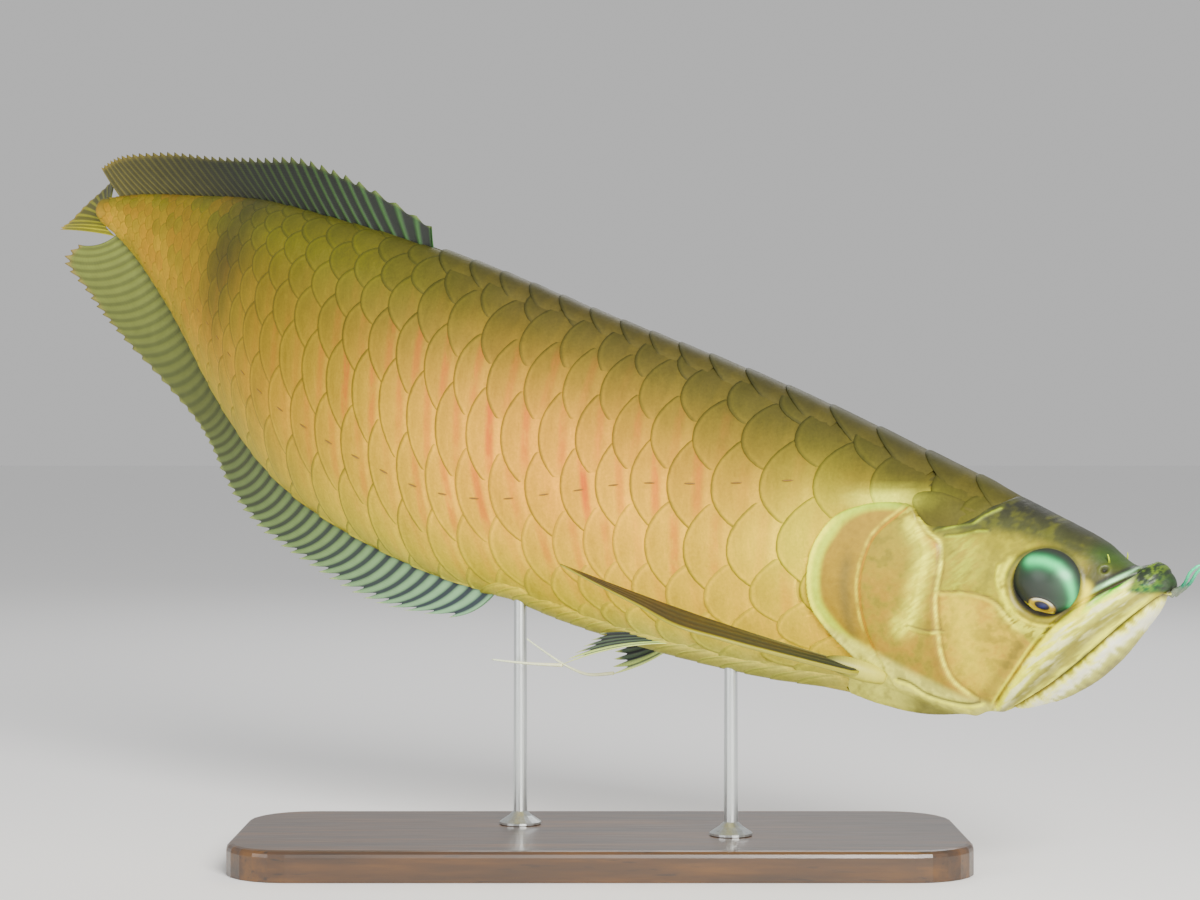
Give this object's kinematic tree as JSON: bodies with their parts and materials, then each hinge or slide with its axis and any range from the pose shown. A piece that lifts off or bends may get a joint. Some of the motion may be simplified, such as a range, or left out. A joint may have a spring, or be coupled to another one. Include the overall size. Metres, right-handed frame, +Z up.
{
  "type": "silver arowana",
  "caption": "Life-size still model of a long, flat-sided freshwater fish, nose down and bending as it turns, held above a plain base by slim rods.",
  "frame": {"origin": "centre of the underside of the stand's base", "axes": "+Z up; +X along the base, with the fish's head at +X and its right flank facing -Y"},
  "size_m": [0.5528, 0.3526, 0.3524],
  "materials": {
    "scales": "pearly scales, gold to peach with an olive back",
    "head": "wet skin over bone, rosy gold with an olive crown",
    "jaw": "wet skin over bone, cream, gold and silver",
    "gill": "pearly plate with a yellow-green rim",
    "fin": "skin between rays, teal to olive with paler rays",
    "eye": "clear and wet over a dark green ball and a gold iris",
    "barbel": "soft teal skin",
    "steel": "satin",
    "wood": "dark satin lacquer"
  },
  "bodies": {
    "root": {"head": "head", "lower_jaw": "jaw", "maxilla_left": "jaw", "maxilla_right": "jaw", "gill_cover_left": "gill", "gill_cover_right": "gill", "eye_left": "eye", "eye_right": "eye", "barbel_left": "barbel", "barbel_right": "barbel", "trunk_front": "scales", "trunk_middle": "scales", "trunk_rear": "scales", "tail": "scales", "tail_stalk": "scales", "dorsal_fin": "fin", "anal_fin": "fin", "tail_fin": "fin", "pectoral_fin_left": "fin", "pectoral_fin_right": "fin", "pelvic_fin_left": "fin", "pelvic_fin_right": "fin", "pelvic_filament_left": "fin", "pelvic_filament_right": "fin", "stand_base": "wood", "stand_rod_front": "steel", "stand_rod_rear": "steel"}
  },
  "joints": []
}
